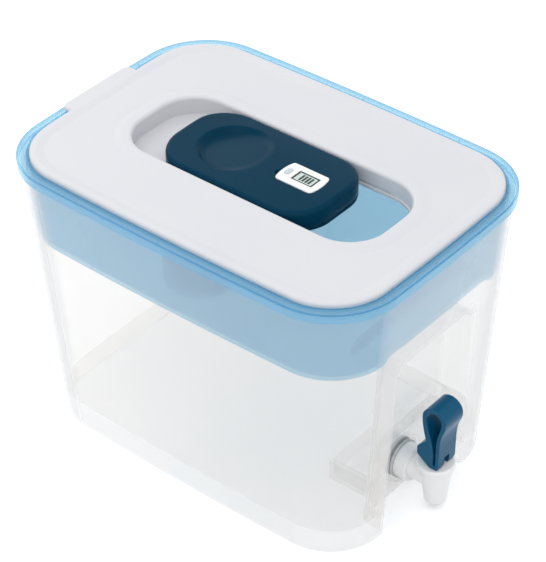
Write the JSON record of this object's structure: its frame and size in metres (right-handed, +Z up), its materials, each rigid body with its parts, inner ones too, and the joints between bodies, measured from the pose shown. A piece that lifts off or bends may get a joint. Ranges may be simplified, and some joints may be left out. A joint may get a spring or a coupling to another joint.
{
  "type": "water filter dispenser",
  "caption": "Countertop water filter dispenser: frosted tank with a tap bay, clear blue hopper, white lid and a sliding blue pour cover with an indicator.",
  "frame": {"origin": "on the ground, under the middle of the whole object's bounding box", "axes": "+Z up, +Y to the back away from the tap, +X to the right seen from the front"},
  "size_m": [0.2624, 0.3778, 0.2667],
  "materials": {
    "frosted_tank": "frosted clear",
    "tap_white": "satin",
    "gasket_rubber": "matt silicone",
    "stem_white": "satin",
    "pin_steel": "drawn",
    "lever_blue": "satin",
    "hopper_blue": "clear",
    "cartridge_white": "fine grain",
    "cartridge_top": "fine grain",
    "screen_mesh": "woven",
    "media_granules": "granular",
    "lid_white": "satin",
    "cover_blue": "satin",
    "plate_blue": "fine grain",
    "indicator_white": "satin",
    "button_white": "matt",
    "display_glass": "clear window",
    "board_green": "solder mask",
    "battery_steel": "brushed"
  },
  "bodies": {
    "tank": {"tank_shell": "frosted_tank", "tap_body": "tap_white", "tap_bonnet": "tap_white", "tap_collar": "tap_white", "outer_gasket": "gasket_rubber", "inner_gasket": "gasket_rubber", "lock_nut": "tap_white"},
    "stem": {"valve_stem": "stem_white", "valve_cup": "gasket_rubber", "lever_pin": "pin_steel"},
    "lever": {"tap_lever": "lever_blue"},
    "hopper": {"hopper": "hopper_blue", "well_seal": "gasket_rubber"},
    "cartridge": {"cartridge_shell": "cartridge_white", "cartridge_screen": "screen_mesh", "cartridge_media": "media_granules", "cartridge_cap": "cartridge_top", "pull_ring": "cartridge_top"},
    "lid": {"lid": "lid_white"},
    "cover": {"slide_cover": "cover_blue", "slide_plate": "plate_blue", "indicator_case": "indicator_white", "indicator_screen": "display_glass", "indicator_board": "board_green", "indicator_battery": "battery_steel"},
    "button": {"reset_button": "button_white"}
  },
  "joints": [
    {"name": "stem_lift", "type": "slide", "parent": "tank", "child": "stem", "axis": [0, 0, 1], "range_m": [0, 0.005]},
    {"name": "lever_turn", "type": "hinge", "parent": "stem", "child": "lever", "pos_m": [0, -0.17288, 0.06], "axis": [1, 0, 0], "range_deg": [0, 40], "stiffness_Nm_per_rad": 0.06},
    {"name": "hopper_lift", "type": "slide", "parent": "tank", "child": "hopper", "axis": [0, 0, 1], "range_m": [0, 0.2]},
    {"name": "lid_lift", "type": "slide", "parent": "hopper", "child": "lid", "axis": [0, 0, 1], "range_m": [0, 0.12]},
    {"name": "cover_slide", "type": "slide", "parent": "lid", "child": "cover", "axis": [0, 1, 0], "range_m": [-0.05, 0.034]},
    {"name": "button_press", "type": "slide", "parent": "cover", "child": "button", "axis": [0, 0, -1], "range_m": [0, 0.0005], "stiffness_N_per_m": 400},
    {"name": "cartridge_lift", "type": "slide", "parent": "hopper", "child": "cartridge", "axis": [0, 0, 1], "range_m": [0, 0.03]}
  ],
  "couplings": [
    {"joint": "stem_lift", "follows": "lever_turn", "m_per_rad": 0.007}
  ]
}
